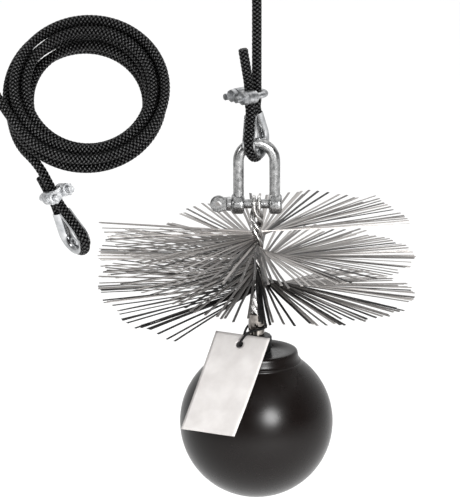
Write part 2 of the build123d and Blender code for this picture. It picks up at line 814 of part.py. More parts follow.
def rope_end_run(end):
    """The loose stretch from the coil to the spare end's clip."""
    start = coil_point(coil_turns)
    points = [start, start + coil_way(coil_turns) * end_first_run, end + spare_rise * end_last_run, end]
    radii = filleted_route("rope_end_run", points)
    path = FilletPolyline(*points, radius=radii)
    section = Plane(origin=path @ 0, z_dir=path % 0) * Circle(rope_radius)
    return sweep(section, path=path)


# The eye at the brush: the live run hangs straight below the hold and the tail lies towards the viewer
brush_stack = -level_direction(clip_turn_degrees)
brush_live = Vector(0, 0, clip_level)
brush_dead = brush_live + brush_stack * rope_pair
brush_eye = Eye(
    Vector(eye_side_shift, 0, eye_level), level_direction(eye_turn_degrees),
    brush_live, brush_dead, Vector(0, 0, 1),
)

# The eye at the spare end, which hangs askew on the coil
spare_rise = Vector(
    -math.sin(math.radians(spare_tilt_degrees)), 0, math.cos(math.radians(spare_tilt_degrees))
)
spare_level = Vector(spare_rise.Z, 0, -spare_rise.X)
spare_stack = (
    spare_level * math.cos(math.radians(spare_turn_degrees))
    - Vector(0, 1, 0) * math.sin(math.radians(spare_turn_degrees))
)
spare_clip = Vector(spare_clip_x, spare_clip_y, spare_clip_z)
spare_live = spare_clip + spare_stack * (rope_pair / 2)
spare_dead = spare_clip - spare_stack * (rope_pair / 2)
spare_eye = Eye(spare_clip - spare_rise * thimble_rise, spare_stack, spare_live, spare_dead, spare_rise)


def build_nodes():
    """Every piece of the object, by the name of its node."""
    brush_clip = clip_plane(brush_eye, brush_stack)
    spare_clip_frame = clip_plane(spare_eye, spare_stack)
    tail_top = brush_dead + Vector(-tail_lean_x, -tail_lean_y, tail_length)
    spare_tail_top = spare_dead + spare_rise * spare_tail_length - spare_stack * rope_side_gap
    nodes = {
        "rope_eye": rope_eye(brush_eye, -1, tail_top, run_joint_rise),
        "rope_run": rope_run(brush_live + Vector(0, 0, run_joint_rise)),
        "rope_coil": rope_coil(),
        "rope_end_run": rope_end_run(spare_live + spare_rise * spare_joint_rise),
        "rope_eye_spare": rope_eye(spare_eye, -1, spare_tail_top, spare_joint_rise),
        "thimble": thimble(brush_eye),
        "clip_saddle": clip_saddle(brush_clip),
        "clip_u_bolt": clip_u_bolt(brush_clip),
        "clip_nuts": clip_nuts(brush_clip),
        "thimble_spare": thimble(spare_eye),
        "clip_saddle_spare": clip_saddle(spare_clip_frame),
        "clip_u_bolt_spare": clip_u_bolt(spare_clip_frame),
        "clip_nuts_spare": clip_nuts(spare_clip_frame),
        "shackle_bow": shackle_bow(),
        "shackle_pin": shackle_pin(),
        "stem_wire_left": stem_wire(-1),
        "stem_wire_right": stem_wire(1),
        "bristles_top": bristle_tier(0),
        "bristles_middle": bristle_tier(1),
        "bristles_bottom": bristle_tier(2),
        "stem_sleeve": stem_sleeve(),
        "stem_stud": stem_stud(),
        "lock_nut": lock_nut(),
        "ball_shell": ball_shell(),
        "ball_core": ball_core(),
        "ball_insert": ball_insert(),
        "tag_card": tag_card(),
        "tag_tie": tag_tie(),
    }
    return nodes


def main():
    """Builds the pieces and writes one file for each node."""
    os.makedirs("parts", exist_ok=True)
    nodes = build_nodes()
    for name, shape in nodes.items():
        export_step(shape, f"parts/{name}.step")
    for name in ("rope_eye", "rope_run", "rope_coil", "rope_end_run", "rope_eye_spare"):
        report_tube(name, nodes[name], rope_radius)
    print_coil_gap()


main()
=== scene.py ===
"""Dresses a weighted chimney sweep brush that hangs on its rope, with the spare rope in a coil."""

import logging
import math
from dataclasses import dataclass
from enum import Enum
from typing import Any, Callable, Sequence

import bmesh
import bpy
from mathutils import Matrix, Vector, noise


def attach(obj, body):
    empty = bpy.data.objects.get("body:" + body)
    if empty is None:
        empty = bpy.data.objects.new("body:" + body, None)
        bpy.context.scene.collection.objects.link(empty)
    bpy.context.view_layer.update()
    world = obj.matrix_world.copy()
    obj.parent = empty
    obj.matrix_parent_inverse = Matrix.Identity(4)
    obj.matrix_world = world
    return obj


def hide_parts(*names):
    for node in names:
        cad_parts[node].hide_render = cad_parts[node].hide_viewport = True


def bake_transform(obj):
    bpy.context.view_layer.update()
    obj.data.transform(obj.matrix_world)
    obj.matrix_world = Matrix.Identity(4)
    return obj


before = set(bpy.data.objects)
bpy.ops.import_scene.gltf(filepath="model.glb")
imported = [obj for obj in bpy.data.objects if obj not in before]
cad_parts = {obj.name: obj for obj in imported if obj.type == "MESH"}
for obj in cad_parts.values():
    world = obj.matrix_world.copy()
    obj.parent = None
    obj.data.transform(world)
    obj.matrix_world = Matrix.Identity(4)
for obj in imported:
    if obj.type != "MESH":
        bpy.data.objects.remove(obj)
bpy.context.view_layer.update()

LOG = logging.getLogger("sweep_brush")
MM = 0.001

Tree = bpy.types.NodeTree
Socket = bpy.types.NodeSocket
Pair = tuple[float, float]
Triple = tuple[float, float, float]

# The sRGB curve: a straight foot up to its knee, then a power
SRGB_KNEE = 0.04045
SRGB_FOOT = 12.92
SRGB_OFFSET = 0.055
SRGB_SCALE = 1.055
SRGB_POWER = 2.4

# Where nearly all of a fractal noise lies
NOISE_SPAN = (0.3, 0.7)

# Metres: a shorter stretch counts as this long, and nearer points of the ball are one
LEAST_STRETCH = 1e-9
SAME_POINT = 1e-6

# Shares of a tube's radius: its reach at a cut end, and how near its seam's points are
END_SHARE = 0.88
SEAM_SHARE = 0.01


class Body(Enum):
    """The CAD bodies that the pieces made here ride on."""

    ROPE = "rope_and_coil"
    BRUSH = "brush"
    BALL = "ball"
    TIE = "tie"
    TAG = "tag"


def linear(hex_colour: str) -> tuple[float, float, float, float]:
    """Turns an sRGB hex colour to the linear colour that a shader takes.

    Args:
        hex_colour: Six hex digits, such as "8a8c8e".

    Returns:
        Red, green, blue and alpha.
    """
    channels = [int(hex_colour[start : start + 2], 16) / 255 for start in (0, 2, 4)]
    bent = [
        c / SRGB_FOOT if c <= SRGB_KNEE else ((c + SRGB_OFFSET) / SRGB_SCALE) ** SRGB_POWER
        for c in channels
    ]
    return (bent[0], bent[1], bent[2], 1.0)


def add_node(
    tree: Tree,
    kind: str,
    links: dict[Any, Socket] | None = None,
    values: dict[Any, Any] | None = None,
    **settings: Any,
) -> bpy.types.Node:
    """Adds one shader node with its settings, values and links.

    Args:
        tree: The node tree of the material.
        kind: The node's Blender type.
        links: Output sockets to link, by the name or index of the new node's input.
        values: Values to set, by the name or index of the new node's input.
        **settings: Properties of the node itself.

    Returns:
        The new node.
    """
    node = tree.nodes.new(kind)
    for name, value in settings.items():
        setattr(node, name, value)
    for key, value in (values or {}).items():
        node.inputs[key].default_value = value
    for key, socket in (links or {}).items():
        tree.links.new(socket, node.inputs[key])
    return node


def new_material(name: str) -> tuple[bpy.types.Material, Tree]:
    """Starts an empty node material.

    Args:
        name: The material's name.

    Returns:
        The material and its node tree.
    """
    material = bpy.data.materials.new(name)
    material.use_nodes = True
    material.node_tree.nodes.clear()
    return material, material.node_tree


def finish_surface(tree: Tree, links: dict[Any, Socket], values: dict[Any, Any]) -> None:
    """Closes a material with its Principled shader and output.

    Args:
        tree: The node tree of the material.
        links: Sockets for the shader's inputs.
        values: Plain values for the shader's inputs.
    """
    shader = add_node(tree, "ShaderNodeBsdfPrincipled", links, values)
    add_node(tree, "ShaderNodeOutputMaterial", {"Surface": shader.outputs["BSDF"]})


def math_node(tree: Tree, operation: str, first: Any, second: Any = 0.0) -> Socket:
    """Adds a Math node between sockets or numbers.

    Args:
        tree: The node tree of the material.
        operation: The Math operation.
        first: A socket or a number.
        second: A socket or a number.

    Returns:
        The result's socket.
    """
    links, values = {}, {}
    for index, operand in enumerate((first, second)):
        if isinstance(operand, Socket):
            links[index] = operand
        else:
            values[index] = operand
    return add_node(tree, "ShaderNodeMath", links, values, operation=operation).outputs[0]


def noise_node(tree: Tree, size_mm: float, detail: float, roughness: float = 0.5) -> Socket:
    """Adds a fractal noise over the object's own place, so that it moves with the piece.

    Args:
        tree: The node tree of the material.
        size_mm: The size of its largest patches, in millimetres.
        detail: How many finer layers it has.
        roughness: How strong the finer layers are.

    Returns:
        The noise's socket.
    """
    place = add_node(tree, "ShaderNodeTexCoord").outputs["Object"]
    values = {"Scale": 1 / (size_mm * MM), "Detail": detail, "Roughness": roughness}
    return add_node(tree, "ShaderNodeTexNoise", {"Vector": place}, values).outputs["Fac"]


def spread_node(tree: Tree, value: Socket, source: Pair, target: Pair) -> Socket:
    """Spreads one range of a value over another and holds it at the ends.

    Args:
        tree: The node tree of the material.
        value: The value's socket.
        source: The range that the value comes in.
        target: The range that it is spread over.

    Returns:
        The result's socket.
    """
    values = {"From Min": source[0], "From Max": source[1]}
    values |= {"To Min": target[0], "To Max": target[1]}
    return add_node(tree, "ShaderNodeMapRange", {"Value": value}, values).outputs[0]


def fade_node(tree: Tree, value: Socket, source: Pair, colours: tuple[str, str]) -> Socket:
    """Fades from one colour to another over a range of a value.

    Args:
        tree: The node tree of the material.
        value: The value's socket.
        source: The range of the value that the fade takes.
        colours: The two colours, as sRGB hex.

    Returns:
        The colour's socket.
    """
    ramp = add_node(tree, "ShaderNodeValToRGB", {"Fac": value})
    for index in (0, 1):
        ramp.color_ramp.elements[index].position = source[index]
        ramp.color_ramp.elements[index].color = linear(colours[index])
    return ramp.outputs[0]


def bump_node(tree: Tree, height: Socket, depth_mm: float) -> Socket:
    """Bends the normal by a height, whose 1 stands for the depth in millimetres."""
    values = {"Strength": 1.0, "Distance": depth_mm * MM}
    return add_node(tree, "ShaderNodeBump", {"Height": height}, values).outputs[0]


@dataclass(frozen=True)
class MetalFinish:
    """A bare or plated metal: cloudy colour, a fine grain and small dents.

    Sizes are in millimetres. The colours are sRGB hex.
    """

    name: str
    light: str
    dark: str
    roughness: Pair
    cloud_mm: float
    grain_mm: float
    dent_depth_mm: float
    dent_mm: float = 1.6
    metallic: float = 1.0
    fade: Pair = (0.28, 0.66)

    def build(self) -> bpy.types.Material:
        """Builds the node material."""
        material, tree = new_material(self.name)
        cloud = noise_node(tree, self.cloud_mm, detail=5.0, roughness=0.62)
        grain = noise_node(tree, self.grain_mm, detail=3.0, roughness=0.6)
        dents = noise_node(tree, self.dent_mm, detail=4.0, roughness=0.55)
        links = {
            "Base Color": fade_node(tree, cloud, self.fade, (self.dark, self.light)),
            "Roughness": spread_node(tree, grain, NOISE_SPAN, self.roughness),
            "Normal": bump_node(tree, dents, self.dent_depth_mm),
        }
        finish_surface(tree, links, {"Metallic": self.metallic})
        return material


@dataclass(frozen=True)
class MouldedFinish:
    """Moulded plastic or covered cord: one colour, slightly uneven gloss, a fine orange peel."""

    name: str
    colour: str
    roughness: Pair
    patch_mm: float
    peel_mm: float
    peel_depth_mm: float
    gloss: float

    def build(self) -> bpy.types.Material:
        """Builds the node material."""
        material, tree = new_material(self.name)
        patch = noise_node(tree, self.patch_mm, detail=6.0, roughness=0.6)
        peel = noise_node(tree, self.peel_mm, detail=2.0)
        links = {
            "Roughness": spread_node(tree, patch, NOISE_SPAN, self.roughness),
            "Normal": bump_node(tree, peel, self.peel_depth_mm),
        }
        values = {"Base Color": linear(self.colour), "Metallic": 0.0}
        finish_surface(tree, links, {**values, "Specular IOR Level": self.gloss})
        return material


@dataclass(frozen=True)
class BraidedRope:
    """Braided polypropylene: two sets of strands that cross over and under round the rope, with
    painted shade in the hollows between them.

    The UV map holds millimetres along the rope and turns round it. Each strand crosses every
    2.7 mm, as the run beside the clip shows.
    """

    name: str = "braided_black_rope"
    # Painted shade: the hollows between the strands are drawn near black and take no reflection
    strand: str = "1e1e1f"
    hollow_shade: str = "000000"
    strands_round: int = 5
    cell_mm: float = 2.7
    relief_mm: float = 0.4
    # Heights of a strand as shares: where it goes under, its gain on top, and the mean
    tucked: float = 0.55
    domed: float = 0.45
    mean: float = 0.5
    fibre_mm: float = 0.35
    fibre_height: float = 0.25
    bump_mm: float = 1.1
    # Fades of the painted shade in the hollows: in the colour, then in the reflection
    hollow_shade_fade: Pair = (0.2, 0.62)
    gleam_and_shade_fade: Pair = (0.5, 0.85)
    worn_heights: Pair = (0.35, 0.95)
    worn_roughness: Pair = (0.8, 0.3)

    def relief(self, along_mm: float, turn: float) -> float:
        """Gives the height of the strands over the rope's mean surface.

        Args:
            along_mm: Millimetres along the rope.
            turn: Turns round the rope.

        Returns:
            The height, in metres.
        """
        leaning = along_mm / self.cell_mm + turn * self.strands_round
        crossing = along_mm / self.cell_mm - turn * self.strands_round
        over = (math.floor(leaning) + math.floor(crossing)) % 2
        across = math.sin(math.pi * ((crossing if over else leaning) % 1.0))
        lengthwise = math.sin(math.pi * ((leaning if over else crossing) % 1.0))
        height = across * (self.tucked + self.domed * lengthwise)
        return (height - self.mean) * self.relief_mm * MM

    def build(self) -> bpy.types.Material:
        """Builds the node material."""
        material, tree = new_material(self.name)
        height = self._height(tree)
        fibre = noise_node(tree, self.fibre_mm, detail=3.0, roughness=0.7)
        fuzz = math_node(tree, "MULTIPLY", fibre, self.fibre_height)
        # Painted shade: the colour darkens from the crests into the hollows, with the fibre's
        # random tone over it
        painted_shade_and_fibre = math_node(tree, "MULTIPLY", height, fibre)
        links = {
            "Base Color": fade_node(tree, painted_shade_and_fibre, self.hollow_shade_fade, (self.hollow_shade, self.strand)),
            "Normal": bump_node(tree, math_node(tree, "ADD", height, fuzz), self.bump_mm),
            "Roughness": spread_node(tree, height, self.worn_heights, self.worn_roughness),
            # Painted shade: the reflection fades out into the hollows
            "Specular Tint": fade_node(tree, height, self.gleam_and_shade_fade, ("000000", "ffffff")),
        }
        finish_surface(tree, links, {"Specular IOR Level": 0.65})
        return material

    def _height(self, tree: Tree) -> Socket:
        """Gives the strands' height, from 0 in the hollows to 1 on the crests, as relief() does."""
        uv = add_node(tree, "ShaderNodeUVMap", uv_map="UVMap").outputs[0]
        parts = add_node(tree, "ShaderNodeSeparateXYZ", {"Vector": uv})
        along = math_node(tree, "DIVIDE", parts.outputs["X"], self.cell_mm)
        around = math_node(tree, "MULTIPLY", parts.outputs["Y"], float(self.strands_round))
        leaning = math_node(tree, "ADD", along, around)
        crossing = math_node(tree, "SUBTRACT", along, around)
        floors = [math_node(tree, "FLOOR", strand) for strand in (leaning, crossing)]
        over = math_node(tree, "PINGPONG", math_node(tree, "ADD", *floors), 1.0)
        ridges = [self._ridge(tree, strand) for strand in (leaning, crossing)]
        across, lengthwise = (
            add_node(
                tree, "ShaderNodeMix", {"Factor": over, "A": under, "B": upper}, data_type="FLOAT"
            ).outputs[0]
            for under, upper in (ridges, ridges[::-1])
        )
        dome = math_node(tree, "MULTIPLY", lengthwise, self.domed)
        return math_node(tree, "MULTIPLY", across, math_node(tree, "ADD", dome, self.tucked))

    @staticmethod
    def _ridge(tree: Tree, across: Socket) -> Socket:
        """Gives a rounded ridge across each strand, 0 at its edges and 1 at its middle."""
        share = math_node(tree, "FRACT", across)
        return math_node(tree, "SINE", math_node(tree, "MULTIPLY", share, math.pi))


@dataclass(frozen=True)
class FlatSteel:
    """Cold rolled flat spring steel, satin, softly cloudy, each strip its own tone plus painted
    shade at the foot's front.
    """

    name: str = "rolled_flat_spring_steel"
    light: str = "aba7a4"
    # The dark end serves both the strips' random tone and the painted shade at the front of the
    # foot
    dark: str = "141211"
    cloud_mm: float = 9.0
    tone_and_shade_share: float = 0.75
    cloud_share: float = 0.25
    fade: Pair = (0.15, 0.85)
    roughness: Pair = (0.3, 0.5)

    def build(self) -> bpy.types.Material:
        """Builds the node material."""
        material, tree = new_material(self.name)
        tone = add_node(tree, "ShaderNodeAttribute", attribute_name="tone_and_shade").outputs["Fac"]
        cloud = noise_node(tree, self.cloud_mm, detail=4.0, roughness=0.6)
        tone_and_shade_part = math_node(tree, "MULTIPLY", tone, self.tone_and_shade_share)
        shared = math_node(tree, "MULTIPLY", cloud, self.cloud_share)
        mixed = math_node(tree, "ADD", tone_and_shade_part, shared)
        links = {
            "Base Color": fade_node(tree, mixed, self.fade, (self.dark, self.light)),
            "Roughness": spread_node(tree, cloud, (0.0, 1.0), self.roughness),
        }
        finish_surface(tree, links, {"Metallic": 1.0})
        return material


@dataclass(frozen=True)
class CoatedCard:
    """Matt coated card: nearly white, softly cloudy, with a faint fibre."""

    name: str = "coated_card"
    light: str = "c6c3c1"
    shade: str = "b3afad"
    cloud_mm: float = 14.0
    fibre_mm: float = 0.6
    fibre_depth_mm: float = 0.03

    def build(self) -> bpy.types.Material:
        """Builds the node material."""
        material, tree = new_material(self.name)
        cloud = noise_node(tree, self.cloud_mm, detail=4.0)
        fibre = noise_node(tree, self.fibre_mm, detail=3.0, roughness=0.7)
        links = {
            "Base Color": fade_node(tree, cloud, NOISE_SPAN, (self.shade, self.light)),
            "Normal": bump_node(tree, fibre, self.fibre_depth_mm),
        }
        finish_surface(tree, links, {"Roughness": 0.55})
        return material


# Thin sheet, zinc plated and pressed, so nearly smooth and quite bright
ZINC_SHEET = MetalFinish(
    "zinc_plated_sheet", "b4b5b6", "8c8e90", roughness=(0.14, 0.24),
    cloud_mm=5.0, grain_mm=0.8, dent_depth_mm=0.006,
)
# Zinc plated malleable iron, cast, so grainier than the sheet
ZINC_CASTING = MetalFinish(
    "zinc_plated_casting", "c6c7c8", "585a5e", roughness=(0.3, 0.44),
    cloud_mm=2.4, grain_mm=0.7, dent_depth_mm=0.018,
)
# Hot-dip galvanised steel, mottled light and dark by its crystals
GALVANISED = MetalFinish(
    "hot_dip_galvanised_steel", "b2b2b2", "565757", roughness=(0.18, 0.36),
    cloud_mm=3.4, grain_mm=0.9, dent_depth_mm=0.03,
)
# Bright drawn steel wire, smooth along its length
DRAWN_WIRE = MetalFinish(
    "bright_drawn_wire", "d6d5d3", "a3a1a0", roughness=(0.18, 0.26),
    cloud_mm=6.0, grain_mm=0.6, dent_depth_mm=0.002,
)
# Nickel plated tube, mirror bright with faint handling marks
NICKEL_TUBE = MetalFinish(
    "nickel_plated_tube", "8f8a85", "3f3b38", roughness=(0.08, 0.2),
    cloud_mm=4.0, grain_mm=0.8, dent_depth_mm=0.02,
)
# Plain turned steel under a film of oil
TURNED_STEEL = MetalFinish(
    "plain_turned_steel", "8a8987", "5a5957", roughness=(0.28, 0.44),
    cloud_mm=3.0, grain_mm=0.7, dent_depth_mm=0.03,
)
# Black oxidised steel nut, dark with worn lighter patches
BLACK_OXIDE = MetalFinish(
    "black_oxide_steel", "2c2c2d", "151516", roughness=(0.3, 0.5),
    cloud_mm=2.0, grain_mm=0.6, dent_depth_mm=0.03, metallic=0.7,
)
# Raw grey iron casting inside the coat
CAST_IRON = MetalFinish(
    "raw_iron_casting", "4a4947", "2c2b2a", roughness=(0.6, 0.8),
    cloud_mm=3.0, grain_mm=0.8, dent_depth_mm=0.2,
)
# Moulded black coat, satin with a faint orange peel
BLACK_COAT = MouldedFinish(
    "moulded_black_coat", "0c0807", roughness=(0.25, 0.32),
    patch_mm=24.0, peel_mm=1.4, peel_depth_mm=0.01, gloss=0.18,
)
# Covered elastic cord, matt black
BLACK_ELASTIC = MouldedFinish(
    "black_elastic_cord", "0c0c0d", roughness=(0.55, 0.7),
    patch_mm=3.0, peel_mm=0.3, peel_depth_mm=0.05, gloss=0.2,
)


def assign(piece: bpy.types.Object, material: bpy.types.Material) -> None:
    """Gives a piece one material in place of what it has."""
    piece.data.materials.clear()
    piece.data.materials.append(material)


def link_new(name: str, data: Any) -> bpy.types.Object:
    """Makes an object from its data and links it to the scene."""
    made = bpy.data.objects.new(name, data)
    bpy.context.scene.collection.objects.link(made)
    return made


def object_from(name: str, builder: bmesh.types.BMesh, smooth: bool = True) -> bpy.types.Object:
    """Makes an object at the origin from a finished bmesh, which it frees.

    Args:
        name: The object's name.
        builder: The bmesh.
        smooth: Whether its faces are shaded smooth.

    Returns:
        The linked object.
    """
    mesh = bpy.data.meshes.new(name)
    builder.to_mesh(mesh)
    builder.free()
    for polygon in mesh.polygons:
        polygon.use_smooth = smooth
    return link_new(name, mesh)


def spline_points(name: str, points: Sequence[Vector], steps: int) -> list[Vector]:
    """Reads a route's own smooth line from a NURBS spline.

    Args:
        name: A name for the curve, which is removed again.
        points: The control points, in metres.
        steps: How many points a segment gives.

    Returns:
        The points that the spline passes through.
    """
    curve = bpy.data.curves.new(name, "CURVE")
    curve.dimensions = "3D"
    curve.resolution_u = steps
    spline = curve.splines.new("NURBS")
    spline.points.add(len(points) - 1)
    for target, point in zip(spline.points, points):
        target.co = (point.x, point.y, point.z, 1.0)
    spline.order_u = 3
    spline.use_endpoint_u = True
    holder = link_new(name, curve)
    bpy.context.view_layer.update()
    mesh = bpy.data.meshes.new_from_object(holder)
    found = [vertex.co.copy() for vertex in mesh.vertices]
    bpy.data.objects.remove(holder)
    bpy.data.curves.remove(curve)
    bpy.data.meshes.remove(mesh)
    return found


def even_points(points: Sequence[Vector], spacing: float) -> list[Vector]:
    """Spaces points evenly along the line that they make.

    Args:
        points: The line.
        spacing: The wanted distance between neighbours, in metres.

    Returns:
        The evenly spaced points, ends included.
    """
    lengths = [0.0]
    for before, after in zip(points, points[1:]):
        lengths.append(lengths[-1] + (after - before).length)
    count = max(2, round(lengths[-1] / spacing))
    spaced, index = [], 0
    for step in range(count + 1):
        wanted = lengths[-1] * step / count
        while index < len(points) - 2 and lengths[index + 1] < wanted:
            index += 1
        span = max(LEAST_STRETCH, lengths[index + 1] - lengths[index])
        spaced.append(points[index].lerp(points[index + 1], (wanted - lengths[index]) / span))
    return spaced


def frames_along(path: Sequence[Vector]) -> list[tuple[Vector, Vector]]:
    """Carries a pair of cross directions along a path without twisting them.

    Args:
        path: Evenly spaced points.

    Returns:
        The two directions across the path at each point.
    """
    frames = []
    normal = (path[1] - path[0]).orthogonal().normalized()
    for index in range(len(path)):
        ahead = (path[min(index + 1, len(path) - 1)] - path[max(index - 1, 0)]).normalized()
        normal = (normal - ahead * normal.dot(ahead)).normalized()
        frames.append((normal, ahead.cross(normal)))
    return frames


def swept_tube(
    name: str,
    path: Sequence[Vector],
    radius: float,
    sides: int,
    relief: Callable[[float, float], float] | None = None,
) -> bpy.types.Object:
    """Rolls a grid to a tube along a path.

    Args:
        name: The object's name.
        path: Evenly spaced points, in metres.
        radius: The tube's radius.
        sides: How many sides it has.
        relief: The surface's height in metres, from millimetres along and turns round.

    Returns:
        The closed tube, with millimetres and turns in its UV map.
    """
    builder = bmesh.new()
    steps = len(path) - 1
    bmesh.ops.create_grid(builder, x_segments=steps, y_segments=sides, size=0.5)
    travelled = [0.0]
    for before, after in zip(path, path[1:]):
        travelled.append(travelled[-1] + (after - before).length / MM)
    uv = builder.loops.layers.uv.new("UVMap")
    for face in builder.faces:
        for loop in face.loops:
            index = round((loop.vert.co.x + 0.5) * steps)
            loop[uv].uv = (travelled[index], loop.vert.co.y + 0.5)
    frames = frames_along(path)
    for vertex in builder.verts:
        index = round((vertex.co.x + 0.5) * steps)
        turn = vertex.co.y + 0.5
        angle = 2 * math.pi * turn
        reach = radius + (relief(travelled[index], turn % 1.0) if relief else 0.0)
        if index in (0, steps):
            reach *= END_SHARE
        normal, side = frames[index]
        vertex.co = path[index] + (normal * math.cos(angle) + side * math.sin(angle)) * reach
    bmesh.ops.remove_doubles(builder, verts=builder.verts, dist=radius * SEAM_SHARE)
    bmesh.ops.holes_fill(builder, edges=[edge for edge in builder.edges if edge.is_boundary])
    bmesh.ops.recalc_face_normals(builder, faces=builder.faces)
    return object_from(name, builder)


def eased(share: float) -> float:
    """Gives a share that starts and ends gently, held between 0 and 1."""
    held = min(1.0, max(0.0, share))
    return held * held * (3 - 2 * held)


@dataclass
class RopeEye:
    """The route of the rope round one thimble, in millimetres, as the CAD lays it."""

    centre: Vector
    across: Vector
    live: Vector
    dead: Vector
    rise: Vector
    round_radius: float = 10.95
    half_pair: float = 3.1
    clip_half: float = 4.6
    past_clip: float = 1.0
    knee: float = 4.0
    neck_out: float = 0.4
    neck_down: float = 0.9
    corners: int = 8

    def __post_init__(self) -> None:
        """Works out the plane of the eye."""
        middle = (self.live + self.dead) / 2 - self.rise * (self.clip_half + self.knee)
        up = middle - self.centre
        facing = self.across.cross(up).normalized()
        self.up = up.normalized()
        self.across = self.up.cross(facing).normalized()
        self.height = up.length

    def place(self, sideways: float, upward: float) -> Vector:
        """Gives a point of the eye's plane."""
        return self.centre + self.across * sideways + self.up * upward

    def points(self) -> list[Vector]:
        """Gives the control points in millimetres, from the clip's tail side to its live side."""
        reach = math.hypot(self.half_pair, self.height)
        start = math.atan2(self.height, self.half_pair) - math.acos(self.round_radius / reach)
        step = (math.pi + 2 * start) / self.corners
        corner_radius = self.round_radius / math.cos(step / 2)
        above = self.rise * self.clip_half
        below = self.rise * (self.clip_half + self.past_clip)
        neck, neck_height = self.half_pair + self.neck_out, self.height - self.neck_down
        route = [self.dead + above, self.dead - below, self.place(-neck, neck_height)]
        for index in range(self.corners):
            angle = start - step * (index + 0.5)
            sideways, upward = -corner_radius * math.cos(angle), corner_radius * math.sin(angle)
            route.append(self.place(sideways, upward))
        return route + [self.place(neck, neck_height), self.live - below, self.live + above]


@dataclass
class Rope:
    """The whole rope, from its tail at the brush over the hold and the coil to its spare end.

    Lengths are in millimetres and angles in degrees.
    """

    diameter: float = 6.0
    pair: float = 6.2
    clip_level: float = -66.0
    clip_turn: float = 40.0
    eye_x: float = -0.5
    eye_level: float = -96.4
    eye_turn: float = 65.0
    spare_clip: Triple = (-129.4, -22.0, -126.1)
    spare_tilt: float = 27.0
    spare_turn: float = 58.0
    spare_reach: float = 30.4
    spare_lead: float = 22.0
    spare_tail: float = 13.0
    spare_tail_lean: float = 0.2
    # The tail, from the clip's dead side, and the way up and over the hold
    tail: tuple[Triple, ...] = ((-4.0, -1.5, 30.0), (-1.2, -0.5, 13.0))
    hold: tuple[Triple, ...] = (
        (0, 0, -25), (0, 0, 11), (-57, -1.2, 8.6), (-114, -3.6, 8.4), (-171, -6.2, 11),
    )
    coil_radius: float = 49.4
    coil_step: float = 7.2
    coil_layer: float = 6.6
    layers: int = 4
    turns_a_layer: int = 2
    coil_x: float = -107.0
    coil_z: float = -66.0
    coil_drift: float = 0.5
    coil_tilt: float = 40.0
    coil_entry: float = 44.0
    coil_exit: float = 16.0
    front_ease: float = 3.0
    rear_drop: float = 3.0
    start_angle: float = 210.0
    turn_degrees: float = 358.0
    climb_turns: float = 0.5
    short_turn: float = 0.002
    corners_a_turn: int = 16
    line_steps: int = 12
    ring_spacing: float = 0.8
    sides: int = 26

    def climb_share(self, turn: float) -> float:
        """Gives how far the coil has climbed from its first layer to its last, in eased steps.

        Args:
            turn: How many turns along the coil.

        Returns:
            The share, from 0 to 1.
        """
        climbed = 0.0
        for reversal in range(1, self.layers):
            past = turn - reversal * self.turns_a_layer
            climbed += eased(past / self.climb_turns + 0.5)
        return climbed / (self.layers - 1)

    def coil_point(self, turn: float, spread: float = 1.0) -> Vector:
        """Gives a point of the coil, whose top leans away from the viewer.

        Args:
            turn: How many turns along the coil.
            spread: How far outside the rope's own line a control point lies, as a share.

        Returns:
            The point, in millimetres.
        """
        layer = min(int(turn / self.turns_a_layer), self.layers - 1)
        within = turn - layer * self.turns_a_layer
        inward = within if layer % 2 == 0 else self.turns_a_layer - within
        rearward = self.climb_share(turn)
        eased_radius = self.coil_radius + self.front_ease * (1 - rearward)
        radius = (eased_radius - self.coil_step * inward) * spread
        depth = self.coil_layer * (self.layers - 1) * (rearward - 0.5)
        angle = math.radians(self.start_angle + self.turn_degrees * turn)
        sideways = radius * math.cos(angle) - self.coil_drift * inward
        upward = radius * math.sin(angle) - self.coil_drift * inward - self.rear_drop * rearward
        tilt = math.radians(self.coil_tilt)
        y = upward * math.sin(tilt) + depth * math.cos(tilt)
        z = upward * math.cos(tilt) - depth * math.sin(tilt)
        return Vector((self.coil_x + sideways, y, self.coil_z + z))

    def brush_eye(self) -> RopeEye:
        """Gives the eye that holds the shackle."""
        clip_turn, eye_turn = math.radians(self.clip_turn), math.radians(self.eye_turn)
        stack = -Vector((math.cos(clip_turn), math.sin(clip_turn), 0))
        live = Vector((0, 0, self.clip_level))
        across = Vector((math.cos(eye_turn), math.sin(eye_turn), 0))
        centre = Vector((self.eye_x, 0, self.eye_level))
        return RopeEye(centre, across, live, live + stack * self.pair, Vector((0, 0, 1)))

    def spare_eye(self) -> RopeEye:
        """Gives the eye at the spare end, which hangs askew."""
        tilt, turn = math.radians(self.spare_tilt), math.radians(self.spare_turn)
        rise = Vector((-math.sin(tilt), 0, math.cos(tilt)))
        level = Vector((rise.z, 0, -rise.x))
        stack = level * math.cos(turn) - Vector((0, 1, 0)) * math.sin(turn)
        clip = Vector(self.spare_clip)
        half = stack * self.pair / 2
        return RopeEye(clip - rise * self.spare_reach, stack, clip + half, clip - half, rise)

    def lay_route(self) -> list[Vector]:
        """Lays the control points of the whole rope, in metres."""
        eye, spare = self.brush_eye(), self.spare_eye()
        route = [eye.dead + Vector(point) for point in self.tail]
        route += eye.points()
        route += [Vector(point) for point in self.hold]
        spread = 1 / math.cos(math.pi / self.corners_a_turn)
        total = self.layers * self.turns_a_layer
        entry, leave = self.coil_point(0), self.coil_point(total)
        inward = (self.coil_point(self.short_turn) - entry).normalized()
        route.append(entry - inward * self.coil_entry)
        for index in range(total * self.corners_a_turn):
            route.append(self.coil_point((index + 0.5) / self.corners_a_turn, spread))
        outward = (leave - self.coil_point(total - self.short_turn)).normalized()
        route.append(leave + outward * self.coil_exit)
        route.append(spare.live + spare.rise * self.spare_lead)
        route += reversed(spare.points())
        lean = (spare.live - spare.dead).normalized() * self.spare_tail_lean
        route.append(spare.dead + spare.rise * self.spare_tail - lean)
        return [point * MM for point in route]

